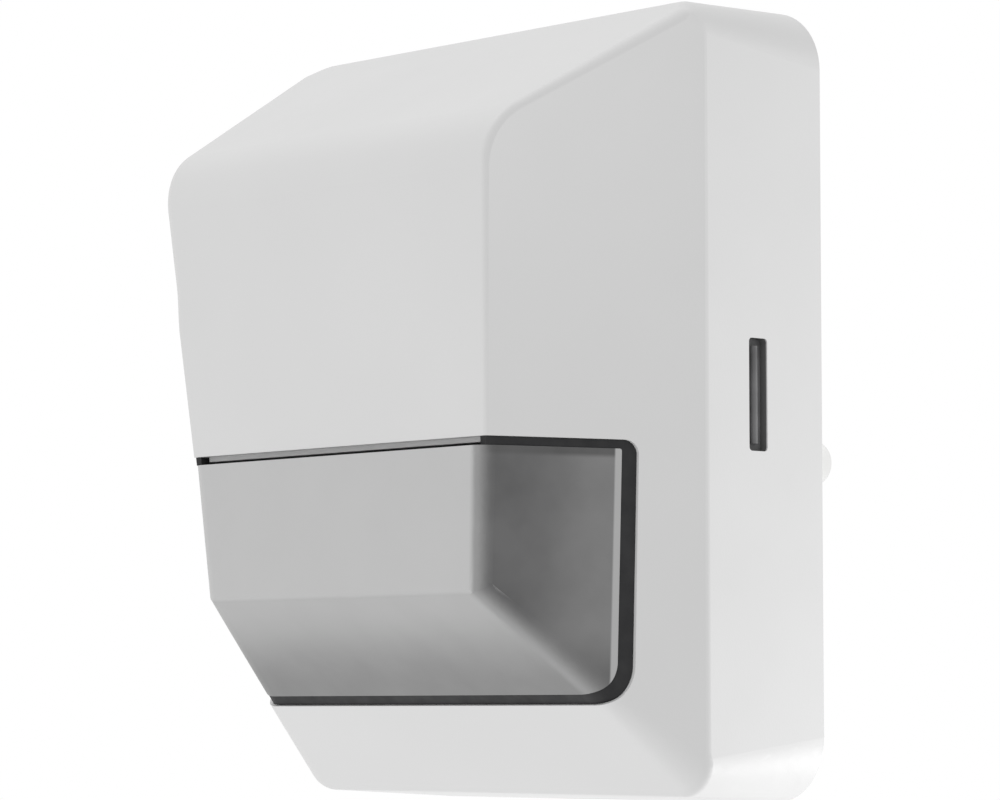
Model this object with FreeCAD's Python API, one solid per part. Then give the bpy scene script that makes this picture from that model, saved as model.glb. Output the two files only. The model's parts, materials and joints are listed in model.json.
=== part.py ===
import FreeCAD, Part
import math
import os

# Wall-mounted passive infrared motion sensor with a wrap-around lens.
# Row frame: millimetres, +X right, +Z up, the front looks along -Y.
# The wall is the plane Y = 0 and the origin is the middle of the wall face.

Vector = FreeCAD.Vector
FreeCAD.newDocument("motion_sensor")

# ---- driving dimensions -------------------------------------------------------------------
HEIGHT = 101.0                # over the back edge of the cover
WIDTH = 77.3                  # over the back edge of the cover
STAND_OFF = 1.8               # gap between the wall and the back edge of the cover
BACK_Y = -STAND_OFF           # back edge of the cover and back face of the base plate
RIM_Y = BACK_Y - 19.7         # where the straight skirt ends and the sloping head starts
SKIRT_DRAFT = 1.12            # the skirt narrows by this much on every side
BACK_CORNER_R = 8.3
RIM_CORNER_R = 4.6
RIM_EDGE_R = 2.5              # rounding between the skirt and the head

FRONT_TOP = (BACK_Y - 51.25, 31.3, 31.2)       # Y, Z, half width of the front face's top edge
FRONT_BEND = (BACK_Y - 46.3, -24.8, 26.15)     # the same of the bend above the chin
TOP_EDGE_R = 8.0
BEND_EDGE_R = 2.4
ROOF_CREASE_R = 1.9           # roof against the sides
FRONT_EDGE_R = 0.65           # front against the sides
CHIN_CREASE_R = 5.5           # chin against the sides where they reach the skirt
EDGE_KINK = 0.8               # degrees between the top rounding and the faces beside it

WALL = 2.2                    # cover wall thickness
FIT_GAP = 0.05                # gap between pieces that are assembled and never move
SLIDE_GAP = 0.3               # gap between pieces that pass each other

WINDOW_TOP = -6.0
WINDOW_REAR_Y = BACK_Y - 28.7
WINDOW_BOTTOM = -38.65
WINDOW_UPPER_R = 1.8
WINDOW_LOWER_R = 5.2

LENS_WALL = 1.3
LENS_TOP = WINDOW_TOP - 1.1
LENS_REAR_Y = WINDOW_REAR_Y - 2.0
LENS_BOTTOM = WINDOW_BOTTOM + 1.4
LENS_UPPER_R = 0.3
LENS_LOWER_R = 4.2
LENS_FRONT_TOP = (FRONT_TOP[0] + 0.45, FRONT_TOP[1], FRONT_TOP[2] - 0.25)
LENS_FRONT_BEND = (FRONT_BEND[0] - 0.85, FRONT_BEND[1], FRONT_BEND[2] - 0.4)
LENS_RIM_BOTTOM = -48.7
LENS_BEND_R = 1.0
LENS_EDGE_R = 2.8
LENS_CREASE_R = 4.5

LEDGE_HALF_WIDE = 26.0        # step behind the window's top edge
GASKET_SINK = 0.3             # the gasket's lip lies this deep in the gap round the lens
GASKET_DEPTHS = (WALL + FIT_GAP, 3.95)         # below the cover's outer surface
FLANGE_DEPTHS = (4.0, 5.2)
RETAINER_DEPTHS = (5.25, 6.9)
FLANGE_MARGIN = 2.2                            # past the window's outline
RETAINER_MARGIN = 2.6

SLOT_Z = 0.35
SLOT_TALL = 14.1
SLOT_WIDE = 3.1
SLOT_Y = BACK_Y - 11.05
SLOT_CORNER_R = 0.5
PAD_X = (36.45, 36.9)         # back and face of the rubber pad in a side slot
PAD_RIDGE_TOP = 37.7
PAD_RIDGE_R = 0.55
PAD_RIDGE_SHORT = 0.9         # the ridge ends this far from the pad's ends

PLATE = 3.0                   # base plate thickness
PLATE_FRONT = BACK_Y - PLATE
TRAY_FRONT = BACK_Y - 11.0    # front of the base plate's raised rim
TRAY_WALL = 2.0
HOOK_X = 33.1                 # middle of a snap hook's tongue
HOOK_HALF_TALL = 5.5

BOARD_BACK = -13.0
BOARD_THICK = 1.6
BOARD_FRONT = BOARD_BACK - BOARD_THICK
BOARD_HALF_WIDE = 26.0
BOARD_TOP = 18.0
BOARD_BOTTOM = -44.0
POSTS = ((-22.5, 13.5), (22.5, 13.5), (-22.5, -40.0), (22.5, -40.0))

WALL_SCREW_X = 30.0
WALL_SCREW_Z = 22.0
WALL_SCREW_R = 2.25
STUD_X = 35.9
STUD_Z = -7.6
STUD_R = 2.7
CABLE_Z = 35.0
CABLE_R = 3.5
GROMMET_HOLE_R = 7.5

DIAL_XS = (-17.0, 0.0, 17.0)
DIAL_NAMES = ("time_dial", "light_dial", "range_dial")
DIAL_Z = -4.0
DIAL_R = 4.6

FACET_ANGLE = 45.0            # how far each infrared detector looks to the side


# ---- small helpers ------------------------------------------------------------------------
def box(x_low, x_high, y_low, y_high, z_low, z_high):
    size = (x_high - x_low, y_high - y_low, z_high - z_low)
    return Part.makeBox(size[0], size[1], size[2], Vector(x_low, y_low, z_low))


def rod_y(x, z, radius, y_low, y_high):
    return Part.makeCylinder(radius, y_high - y_low, Vector(x, y_low, z), Vector(0, 1, 0))


def rod_x(y, z, radius, x_low, x_high):
    return Part.makeCylinder(radius, x_high - x_low, Vector(x_low, y, z), Vector(1, 0, 0))


def rod_z(x, y, radius, z_low, z_high):
    return Part.makeCylinder(radius, z_high - z_low, Vector(x, y, z_low), Vector(0, 0, 1))


def segment(start, end):
    return Part.LineSegment(start, end).toShape()


def joined(shapes):
    """One solid from pieces that touch or overlap."""
    whole = shapes[0].fuse(shapes[1:]) if len(shapes) > 1 else shapes[0]
    whole = whole.removeSplitter()
    return whole.Solids[0] if len(whole.Solids) == 1 else whole


def group(shapes):
    """Separate identical solids that share one node."""
    solids = []
    for shape in shapes:
        solids.extend(shape.Solids)
    return Part.makeCompound(solids)


def mirrored(shape):
    return shape.mirror(Vector(0, 0, 0), Vector(1, 0, 0))


def rounded_polygon(corners, radii):
    """Closed flat wire through the corners, each corner rounded by its own radius."""
    count = len(corners)
    rounds = []
    for index in range(count):
        corner = corners[index]
        before = (corners[index - 1] - corner).normalize()
        after = (corners[(index + 1) % count] - corner).normalize()
        half_angle = before.getAngle(after) / 2
        reach = radii[index] / math.tan(half_angle)
        inward = (before + after).normalize()
        centre = corner + inward * (radii[index] / math.sin(half_angle))
        rounds.append((corner + before * reach, centre - inward * radii[index], corner + after * reach))
    edges = []
    for index in range(count):
        start, middle, end = rounds[index]
        if radii[index] > 0:
            edges.append(Part.Arc(start, middle, end).toShape())
        edges.append(segment(end, rounds[(index + 1) % count][0]))
    return Part.Wire(edges)


def rectangle_corners(half_wide, half_tall, y, middle_z=0.0):
    corners = []
    for sign_x, sign_z in ((-1, 1), (1, 1), (1, -1), (-1, -1)):
        corners.append(Vector(sign_x * half_wide, y, middle_z + sign_z * half_tall))
    return corners


def rounded_rectangle(half_wide, half_tall, radius, y, middle_z=0.0):
    """Closed wire in the plane Y = y: four lines and four arcs."""
    return rounded_polygon(rectangle_corners(half_wide, half_tall, y, middle_z), [radius] * 4)


def slab(half_wide, half_tall, radius, y_low, y_high, middle_z=0.0):
    """Rounded rectangular plate between two Y planes."""
    face = Part.Face(rounded_rectangle(half_wide, half_tall, radius, y_low, middle_z))
    return face.extrude(Vector(0, y_high - y_low, 0))


def prism_x(points, radii, x_low, x_high):
    """Prism along X over a polygon of (y, z) points, with a radius at each corner."""
    corners = [Vector(x_low, y, z) for y, z in points]
    return Part.Face(rounded_polygon(corners, radii)).extrude(Vector(x_high - x_low, 0, 0))


def screw(x, z, y_seat, head_r, head_tall, shank_r, length, towards_wall=True):
    """Pan-head screw with a cross recess; the head's underside is at y_seat."""
    sign = 1 if towards_wall else -1
    recess_long = head_r * 0.62
    recess_wide = head_r * 0.13
    recess_deep = head_tall * 0.5
    head = Part.makeCylinder(head_r, head_tall, Vector(0, 0, 0), Vector(0, -1, 0))
    top_edge = [edge for edge in head.Edges if abs(edge.CenterOfMass.y + head_tall) < 1e-6]
    head = head.makeFillet(head_tall * 0.45, top_edge)
    for long_x, long_z in ((recess_long, recess_wide), (recess_wide, recess_long)):
        slot = box(-long_x, long_x, -head_tall - 1, -head_tall + recess_deep, -long_z, long_z)
        head = head.cut(slot)
    shank = Part.makeCylinder(shank_r, length, Vector(0, 0, 0), Vector(0, 1, 0))
    whole = joined([head, shank])
    if sign < 0:
        whole.rotate(Vector(0, 0, 0), Vector(0, 0, 1), 180)
    whole.translate(Vector(x, y_seat, z))
    return whole


# ---- the outer form -----------------------------------------------------------------------
def line_meet(first, second):
    """Where two lines of the YZ plane cross; each line is a point and a direction."""
    (y1, z1), (a1, b1) = first
    (y2, z2), (a2, b2) = second
    step = ((y2 - y1) * b2 - (z2 - z1) * a2) / (a1 * b2 - b1 * a2)
    return (y1 + a1 * step, z1 + b1 * step)


def inset_line(start, end, inset):
    """The line through two YZ points, moved towards the middle of the form."""
    along_y, along_z = end[0] - start[0], end[1] - start[1]
    length = math.hypot(along_y, along_z)
    normal = (along_z / length, -along_y / length)
    middle = ((start[0] + end[0]) / 2, (start[1] + end[1]) / 2)
    inside = (RIM_Y - middle[0], -middle[1])
    sign = 1 if normal[0] * inside[0] + normal[1] * inside[1] > 0 else -1
    point = (start[0] + sign * inset * normal[0], start[1] + sign * inset * normal[1])
    return point, (along_y, along_z)


def inset_half_width(corner, y, inset):
    slope = (WIDTH / 2 - SKIRT_DRAFT - corner[2]) / (RIM_Y - corner[0])
    return corner[2] + slope * (y - corner[0]) - inset


def side_rounded(solid, front_line, roof_r, front_r, chin_r):
    """Round the left and right edges, each with the radii of its two ends.

    Every edge has to be a fillet of its own, so the faces meet at slight kinks, because
    edges that run on tangentially would share one radius law.
    """
    (front_y, front_z), (along_y, along_z) = front_line

    def radius_at(point):
        off_front = (point.y - front_y) * along_z - (point.z - front_z) * along_y
        if abs(off_front) < 0.1 * math.hypot(along_y, along_z):
            return front_r
        return roof_r if point.z > 0 else chin_r

    chosen = []
    for index, edge in enumerate(solid.Edges):
        first = edge.valueAt(edge.FirstParameter)
        last = edge.valueAt(edge.LastParameter)
        along_side = min(abs(first.x), abs(last.x)) > 20 and first.x * last.x > 0
        if along_side and min(first.y, last.y) < RIM_Y - 0.5:
            chosen.append((index + 1, radius_at(first), radius_at(last)))
    document = FreeCAD.ActiveDocument
    base = document.addObject("Part::Feature", "sharp")
    base.Shape = solid
    rounded = document.addObject("Part::Fillet", "rounded")
    rounded.Base = base
    rounded.Edges = chosen
    document.recompute()
    return rounded.Shape.Solids[0]


def corner_cutter(before, corner, after, radius, kink=0.0):
    """Prism along X of what a radius takes off the outer corner between two YZ lines.

    kink is the angle in degrees by which the arc misses being tangent at each end.
    """
    outside = 6.0
    middle = Vector(0, *corner)
    to_before = (Vector(0, *before) - middle).normalize()
    to_after = (Vector(0, *after) - middle).normalize()
    half_angle = to_before.getAngle(to_after) / 2
    reach = radius / math.tan(half_angle)
    inward = (to_before + to_after).normalize()
    start = middle + to_before * reach
    end = middle + to_after * reach
    turn = math.pi - 2 * half_angle - 2 * math.radians(kink)
    rise = (end - start).Length / 2 * math.tan(turn / 4)
    on_arc = (start + end) * 0.5 - inward * rise
    away_before = (inward - to_before * inward.dot(to_before)).normalize() * -outside
    away_after = (inward - to_after * inward.dot(to_after)).normalize() * -outside
    edges = [
        segment(start, start + away_before),
        segment(start + away_before, middle - inward * 3 * outside),
        segment(middle - inward * 3 * outside, end + away_after),
        segment(end + away_after, end),
        Part.Arc(end, on_arc, start).toShape(),
    ]
    wire = Part.Wire(edges)
    wire.translate(Vector(-WIDTH, 0, 0))
    return Part.Face(wire).extrude(Vector(2 * WIDTH, 0, 0))


def run_on(near, far, share):
    """The point that lies behind near by a share of the way from far to near."""
    return near + (near - far) * share


def head_form(front_top, front_bend, rim_top, rim_bottom, side_inset, inset, radii, back_share=0.0):
    """Faceted head in front of the skirt: sloping roof, front, chin and two sides.

    The outer form has true edge fillets; an inset form has conical corners instead.
    back_share runs the form on behind the rim, as a share of the head's depth.
    """
    top_r, bend_r, roof_r, front_r, chin_r = radii
    half_rim = WIDTH / 2 - SKIRT_DRAFT - side_inset - inset
    roof = inset_line((RIM_Y, rim_top), front_top[:2], inset)
    face = inset_line(front_top[:2], front_bend[:2], inset)
    chin = inset_line(front_bend[:2], (RIM_Y, rim_bottom), inset)
    rim_plane = ((RIM_Y, 0), (0, 1))
    top_rim = line_meet(roof, rim_plane)
    top_front = line_meet(roof, face)
    bend = line_meet(face, chin)
    bottom_rim = line_meet(chin, rim_plane)
    half_top = inset_half_width(front_top, top_front[0], inset)
    half_bend = inset_half_width(front_bend, bend[0], inset)
    quads = []
    for upper, half_upper, lower, half_lower in (
        (top_rim, half_rim, bottom_rim, half_rim),
        (top_front, half_top, bend, half_bend),
    ):
        quads.append([
            Vector(-half_upper, *upper),
            Vector(half_upper, *upper),
            Vector(half_lower, *lower),
            Vector(-half_lower, *lower),
        ])
    back_quad = [run_on(near, far, back_share) for near, far in zip(*quads)]
    corner_radii = (0, 0) if inset == 0 else (chin_r, front_r)
    wires = []
    for quad, corner_r in zip((back_quad, quads[1]), corner_radii):
        wires.append(rounded_polygon(quad, [corner_r] * 4))
    solid = Part.makeLoft(wires, True, True)
    solid = solid.cut(corner_cutter(top_rim, top_front, bend, top_r, EDGE_KINK)).Solids[0]
    if inset == 0:
        back_chin_r = chin_r + (chin_r - front_r) * back_share
        solid = side_rounded(solid, face, roof_r, front_r, back_chin_r)
    return solid.cut(corner_cutter(top_front, bend, bottom_rim, bend_r)).Solids[0]


def rim_levels(inset):
    """Top and bottom of the form where the skirt meets the head."""
    rim_half = HEIGHT / 2 - SKIRT_DRAFT
    rim_plane = ((RIM_Y, 0), (0, 1))
    roof = inset_line((RIM_Y, rim_half), FRONT_TOP[:2], inset)
    chin = inset_line(FRONT_BEND[:2], (RIM_Y, -rim_half), inset)
    return line_meet(roof, rim_plane)[1], line_meet(chin, rim_plane)[1]


def skirt_wire(y, inset, gap=0.0):
    """Section of the skirt of an inset form, made smaller again by gap."""
    share = (y - BACK_Y) / (RIM_Y - BACK_Y)
    half_wide = WIDTH / 2 - inset - gap - SKIRT_DRAFT * share
    back_level = HEIGHT / 2 - inset
    rim_top, rim_bottom = rim_levels(inset)
    top = back_level + (rim_top - back_level) * share - gap
    bottom = -back_level + (rim_bottom + back_level) * share + gap
    corner_share = min(share, CORNER_SHARE)
    radius = BACK_CORNER_R + (RIM_CORNER_R - BACK_CORNER_R) * corner_share - inset - gap
    middle_z = (top + bottom) / 2
    return rounded_rectangle(half_wide, (top - bottom) / 2, max(radius, 0.5), y, middle_z)


CORNER_SHARE = 1.5            # the skirt's corners go on narrowing this far into the head
BACK_SHARE = 0.75             # the head runs on behind the rim by this share, to be trimmed


def outer_form():
    """The head, run on to the back and trimmed by the skirt's drafted walls and corners."""
    rim_half = HEIGHT / 2 - SKIRT_DRAFT
    radii = (TOP_EDGE_R, BEND_EDGE_R, ROOF_CREASE_R, FRONT_EDGE_R, CHIN_CREASE_R)
    head = head_form(FRONT_TOP, FRONT_BEND, rim_half, -rim_half, 0, 0, radii, BACK_SHARE)
    corner_end = BACK_Y + (RIM_Y - BACK_Y) * CORNER_SHARE
    walls = Part.makeLoft([skirt_wire(y, 0) for y in (BACK_Y, corner_end, -60)], True, True)
    return head.common(walls).Solids[0]


def cover_form(inset):
    """Closed solid of the whole outer form, moved inwards by inset."""
    if inset == 0:
        return outer_form()
    rim_r = max(RIM_CORNER_R - inset, 0.8)
    front_r = max(FRONT_EDGE_R - inset, 0.4)
    radii = (TOP_EDGE_R - inset, max(BEND_EDGE_R - inset, 0.4), rim_r, front_r, rim_r)
    rim_half = HEIGHT / 2 - SKIRT_DRAFT
    head = head_form(FRONT_TOP, FRONT_BEND, rim_half, -rim_half, 0, inset, radii)
    back_faces = [face for face in head.Faces if abs(face.CenterOfMass.y - RIM_Y) < 0.01]
    skirt = Part.makeLoft([back_faces[0].OuterWire, skirt_wire(BACK_Y, inset)], True, True)
    return head.fuse(skirt).Solids[0]


def lens_form(inset):
    """Closed solid of the lens's outer form, which stands a little proud of the cover."""
    edge_r = max(LENS_EDGE_R - inset, 0.4)
    crease_r = max(LENS_CREASE_R - inset, 0.8)
    radii = (TOP_EDGE_R - inset, max(LENS_BEND_R - inset, 0.3), edge_r, edge_r, crease_r)
    rim_half = HEIGHT / 2 - SKIRT_DRAFT
    return head_form(
        LENS_FRONT_TOP, LENS_FRONT_BEND, rim_half, LENS_RIM_BOTTOM, 0.25, inset, radii
    )


def side_outline(top, rear, bottom, upper_r, lower_r, margin=0.0):
    """Prism along X that cuts the window's or the lens's outline; margin widens it."""
    far_front = -80.0
    rear_y = rear + margin
    points = [
        (far_front, top + margin),
        (rear_y, top + margin),
        (rear_y, bottom - margin),
        (far_front, bottom - margin),
    ]
    radii = [0, max(upper_r + margin, 0.3), max(lower_r + margin, 0.3), 0]
    return prism_x(points, radii, -WIDTH, WIDTH)


def window_outline(margin=0.0):
    return side_outline(
        WINDOW_TOP, WINDOW_REAR_Y, WINDOW_BOTTOM, WINDOW_UPPER_R, WINDOW_LOWER_R, margin
    )


def lens_outline(margin=0.0):
    return side_outline(LENS_TOP, LENS_REAR_Y, LENS_BOTTOM, LENS_UPPER_R, LENS_LOWER_R, margin)


def shell_band(depths, outer_outline, inner_outline):
    """Strip of a shell that follows the cover's form, between two outlines."""
    layer = cover_form(depths[0]).cut(cover_form(depths[1]))
    return layer.common(outer_outline.cut(inner_outline))


def lens_opening(margin):
    """Clear way through the middle of the lens's seat, from front to back."""
    half_wide = 25.2
    return box(-half_wide, half_wide, -80, 0, LENS_BOTTOM + margin, LENS_TOP - margin)


# ---- pieces that come off with the cover --------------------------------------------------
TOP_BOSS_Z = 1.6
BOTTOM_BOSS_Z = -43.6
BOSS_X = 17.0
BOSS_R = 2.4
EAR_HALF_WIDE = 4.0
TOP_EAR_Y = (-44.5, -43.0)
BOTTOM_EAR_Y = (-21.9, -20.2)


def front_cover():
    outer = outer_form()
    rim_edges = []
    for edge in outer.Edges:
        bounds = edge.BoundBox
        if bounds.YMin > RIM_Y - 10 and bounds.YMax < RIM_Y + 10:
            rim_edges.append(edge)
    outer = outer.makeFillet(RIM_EDGE_R, rim_edges)
    cavity = cover_form(WALL)
    window = window_outline()
    # step behind the window's top edge, seen across the front gap
    ledge_depths = (1.2, WALL)
    ledge_z = (WINDOW_TOP - 0.62, WINDOW_TOP + 1)
    ledge_strip = box(-LEDGE_HALF_WIDE, LEDGE_HALF_WIDE, -60, -44, *ledge_z)
    ledge = cover_form(ledge_depths[0]).cut(cover_form(ledge_depths[1])).common(ledge_strip)
    bosses = []
    for x in (-BOSS_X, BOSS_X):
        top_boss = rod_y(x, TOP_BOSS_Z, BOSS_R, -55, TOP_EAR_Y[0] - FIT_GAP)
        bottom_boss = rod_y(x, BOTTOM_BOSS_Z, BOSS_R, -40, BOTTOM_EAR_Y[0] - FIT_GAP)
        for boss in (top_boss, bottom_boss):
            bosses.append(boss.common(cover_form(WALL / 2)))
    shell = outer.cut(cavity).cut(window)
    shell = shell.fuse([ledge] + bosses)
    # screw holes of the bosses
    for x in (-BOSS_X, BOSS_X):
        shell = shell.cut(rod_y(x, TOP_BOSS_Z, 0.95, TOP_EAR_Y[0] - 2.6, TOP_EAR_Y[0]))
        shell = shell.cut(rod_y(x, BOTTOM_BOSS_Z, 0.95, BOTTOM_EAR_Y[0] - 2.6, BOTTOM_EAR_Y[0]))
    for x_low, x_high in ((30, 45), (-45, -30)):
        shell = shell.cut(slot_prism(SLOT_WIDE / 2, SLOT_TALL / 2, x_low, x_high))
    return shell.removeSplitter()


def slot_prism(half_wide, half_tall, x_low, x_high):
    """Rounded bar along X, centred on the side slots."""
    points = [
        (SLOT_Y - half_wide, SLOT_Z - half_tall),
        (SLOT_Y + half_wide, SLOT_Z - half_tall),
        (SLOT_Y + half_wide, SLOT_Z + half_tall),
        (SLOT_Y - half_wide, SLOT_Z + half_tall),
    ]
    return prism_x(points, [SLOT_CORNER_R] * 4, x_low, x_high)


def release_pads():
    """Soft ridged pads that close the side slots; the snap hooks are pressed through them."""
    half_tall = SLOT_TALL / 2 - FIT_GAP
    ridge_z = (SLOT_Z - half_tall + PAD_RIDGE_SHORT, SLOT_Z + half_tall - PAD_RIDGE_SHORT)
    pads = []
    for sign in (-1, 1):
        back_x, face_x = (sign * x for x in PAD_X)
        x_range = (min(back_x, face_x), max(back_x, face_x))
        pad = slot_prism(SLOT_WIDE / 2 - FIT_GAP, half_tall, *x_range)
        ridge_x = sign * (PAD_RIDGE_TOP - PAD_RIDGE_R)
        pads.append(joined([pad, rod_z(ridge_x, SLOT_Y, PAD_RIDGE_R, *ridge_z)]))
    return group(pads)


def lens():
    block = lens_form(0)
    cap = block.cut(lens_form(LENS_WALL)).common(lens_outline())
    ring = lens_outline().cut(lens_outline(-LENS_WALL))
    border = block.cut(cover_form(FLANGE_DEPTHS[1])).common(ring)
    flange = shell_band(FLANGE_DEPTHS, window_outline(FLANGE_MARGIN), lens_outline(-LENS_WALL))
    seat = border.fuse(flange).cut(lens_opening(LENS_WALL))
    return joined([cap, seat])


def lens_gasket():
    """Black rubber behind the window's rim, with a lip that fills the gap round the lens."""
    band = shell_band(GASKET_DEPTHS, window_outline(FLANGE_MARGIN), lens_outline(FIT_GAP))
    lip_depths = (GASKET_SINK, GASKET_DEPTHS[1])
    lip = shell_band(lip_depths, window_outline(-FIT_GAP), lens_outline(FIT_GAP))
    # the lip leaves out the ledge above the lens's front
    half_wide = LEDGE_HALF_WIDE + 0.6
    ledge_space = box(-half_wide, half_wide, -60, -44, LENS_TOP - 1, WINDOW_TOP + 1)
    return joined([band, lip.cut(ledge_space)])


def lens_retainer():
    inset = LENS_WALL + 0.4
    frame = shell_band(RETAINER_DEPTHS, window_outline(RETAINER_MARGIN), lens_outline(-inset))
    frame = frame.cut(lens_opening(inset))
    ears = []
    for x in (-BOSS_X, BOSS_X):
        left, right = x - EAR_HALF_WIDE, x + EAR_HALF_WIDE
        top_ear = box(left, right, *TOP_EAR_Y, WINDOW_TOP + 0.6, TOP_BOSS_Z + 3.2)
        bottom_ear = box(left, right, *BOTTOM_EAR_Y, BOTTOM_BOSS_Z - 2.4, WINDOW_BOTTOM - 1.0)
        ears.extend([top_ear, bottom_ear])
    # two arms and a bar carry the lower ears, behind the chin
    form = cover_form(RETAINER_DEPTHS[0])
    bar_front, bar_back = BOTTOM_EAR_Y[0] - 0.8, BOTTOM_EAR_Y[1] - 0.7
    arms = [box(-29.0, 29.0, bar_front, bar_back, -40.6, -35.0)]
    for left, right in ((-29.0, -25.4), (25.4, 29.0)):
        arms.append(box(left, right, -31.0, bar_back, -38.0, -32.5))
    arms = [arm.common(form) for arm in arms]
    whole = joined([frame] + ears + arms)
    for x in (-BOSS_X, BOSS_X):
        whole = whole.cut(rod_y(x, TOP_BOSS_Z, 1.25, -50, -40))
        whole = whole.cut(rod_y(x, BOTTOM_BOSS_Z, 1.25, -30, -15))
    return whole


def retainer_screws():
    pieces = []
    for x in (-BOSS_X, BOSS_X):
        top_seat = TOP_EAR_Y[1] + FIT_GAP
        bottom_seat = BOTTOM_EAR_Y[1] + FIT_GAP
        pieces.append(screw(x, TOP_BOSS_Z, top_seat, 2.0, 1.3, 0.9, 3.4, False))
        pieces.append(screw(x, BOTTOM_BOSS_Z, bottom_seat, 2.0, 1.3, 0.9, 3.4, False))
    return group(pieces)


# ---- base plate and what closes it --------------------------------------------------------
def tray_ring(outer_gap, thick, y_low, y_high):
    """Ring that follows the cover's inside, outer_gap clear of its wall."""
    def loft(gap):
        return Part.makeLoft([skirt_wire(y_low, WALL, gap), skirt_wire(y_high, WALL, gap)], True, True)

    return loft(outer_gap).cut(loft(outer_gap + thick))


SEAL_Y = (BACK_Y - 2.3, BACK_Y - 0.7)
SEAL_DEEP = 1.1


def base_plate():
    plate_wires = [skirt_wire(y, WALL, SLIDE_GAP) for y in (BACK_Y, PLATE_FRONT)]
    plate = Part.makeLoft(plate_wires, True, True)
    pieces = [plate, tray_ring(SLIDE_GAP, TRAY_WALL, TRAY_FRONT, PLATE_FRONT + 0.5)]
    for x, z in POSTS:
        pieces.append(rod_y(x, z, 3.0, BOARD_BACK + FIT_GAP, PLATE_FRONT + 0.5))
    for x in (-STUD_X, STUD_X):
        pieces.append(rod_y(x, STUD_Z, STUD_R, BACK_Y, 0))
    for x in (-WALL_SCREW_X, WALL_SCREW_X):
        pieces.append(rod_y(x, WALL_SCREW_Z, 4.6, BACK_Y - 0.5, 0))
        pieces.append(rod_y(x, WALL_SCREW_Z, 4.6, PLATE_FRONT - 1.2, PLATE_FRONT + 0.5))
    for x in (-CLAMP_SCREW_X, CLAMP_SCREW_X):
        pieces.append(rod_y(x, CLAMP_Z, 2.6, CLAMP_BACK + FIT_GAP, PLATE_FRONT + 0.5))
    # stiffening ribs behind the circuit board
    for x in (-12.0, 12.0):
        pieces.append(box(x - 0.7, x + 0.7, PLATE_FRONT - 3.0, PLATE_FRONT + 0.5, -46.2, 17.0))
    for z in (-30.0, -10.0, 10.0):
        pieces.append(box(-30.0, 30.0, PLATE_FRONT - 2.4, PLATE_FRONT + 0.5, z - 0.7, z + 0.7))
    body = joined(pieces)
    # groove of the edge seal, screw, cable and clamp holes, gaps for the snap hooks
    body = body.cut(tray_ring(SLIDE_GAP - 0.2, SEAL_DEEP + 0.2, *SEAL_Y))
    for x in (-WALL_SCREW_X, WALL_SCREW_X):
        body = body.cut(rod_y(x, WALL_SCREW_Z, WALL_SCREW_R, -20, 1))
    body = body.cut(rod_y(0, CABLE_Z, GROMMET_HOLE_R, -10, 1))
    for x, z in POSTS:
        body = body.cut(rod_y(x, z, 1.15, BOARD_BACK, BOARD_BACK + 7.5))
    for x in (-CLAMP_SCREW_X, CLAMP_SCREW_X):
        body = body.cut(rod_y(x, CLAMP_Z, 1.15, CLAMP_BACK - 1, CLAMP_BACK + 4.6))
    gap_half = HOOK_HALF_TALL + 3.0
    for x_low, x_high in ((30.6, 45), (-45, -30.6)):
        body = body.cut(box(x_low, x_high, -40, PLATE_FRONT, -gap_half, gap_half))
    cradles = []
    cradle_y = (PLATE_FRONT - 0.28, PLATE_FRONT + 0.5)
    for x in (-HOOK_X, HOOK_X):
        cradles.append(box(x - 1.1, x + 1.1, *cradle_y, -HOOK_HALF_TALL, HOOK_HALF_TALL))
    return joined([body] + cradles)


def edge_seal():
    """Rubber ring in the groove round the base plate's edge."""
    return tray_ring(SLIDE_GAP - 0.1, SEAL_DEEP, SEAL_Y[0] + FIT_GAP, SEAL_Y[1] - FIT_GAP)


def wall_gasket():
    sheet = slab(24.0, 44.0, 6.0, BACK_Y, 0)
    return sheet.cut(rod_y(0, CABLE_Z, 8.0 + 0.6, -5, 1))


def cable_grommet():
    pieces = [
        rod_y(0, CABLE_Z, 9.4, PLATE_FRONT - 1.6, PLATE_FRONT - FIT_GAP),
        rod_y(0, CABLE_Z, GROMMET_HOLE_R - FIT_GAP, PLATE_FRONT - 1.0, BACK_Y + 0.5),
        rod_y(0, CABLE_Z, 8.5, BACK_Y + FIT_GAP, -0.3),
        Part.makeCone(5.2, 6.6, 5.0, Vector(0, PLATE_FRONT - 6.4, CABLE_Z), Vector(0, 1, 0)),
    ]
    body = joined(pieces)
    return body.cut(rod_y(0, CABLE_Z, CABLE_R, -20, 1))


CLAMP_Z = 22.0
CLAMP_SCREW_X = 8.6
CLAMP_BACK = -9.6
CLAMP_THICK = 2.4


def cable_clamp():
    front = CLAMP_BACK - CLAMP_THICK
    bar = box(-11.6, 11.6, front, CLAMP_BACK, CLAMP_Z - 2.6, CLAMP_Z + 2.6)
    ends = [edge for edge in bar.Edges if abs(edge.CenterOfMass.x) > 11 and edge.Length < 3]
    bar = bar.makeFillet(2.0, ends)
    # two teeth that bite on the cable's sheath
    teeth = [box(-4.5, 4.5, CLAMP_BACK, CLAMP_BACK + 0.9, z - 0.5, z + 0.5) for z in (20.6, 23.4)]
    bar = joined([bar] + teeth)
    for x in (-CLAMP_SCREW_X, CLAMP_SCREW_X):
        bar = bar.cut(rod_y(x, CLAMP_Z, 1.6, -20, 0))
    return bar


def cable_clamp_screws():
    seat = CLAMP_BACK - CLAMP_THICK - FIT_GAP
    pieces = [screw(x, CLAMP_Z, seat, 2.5, 1.8, 1.1, 6.0) for x in (-CLAMP_SCREW_X, CLAMP_SCREW_X)]
    return group(pieces)


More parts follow.
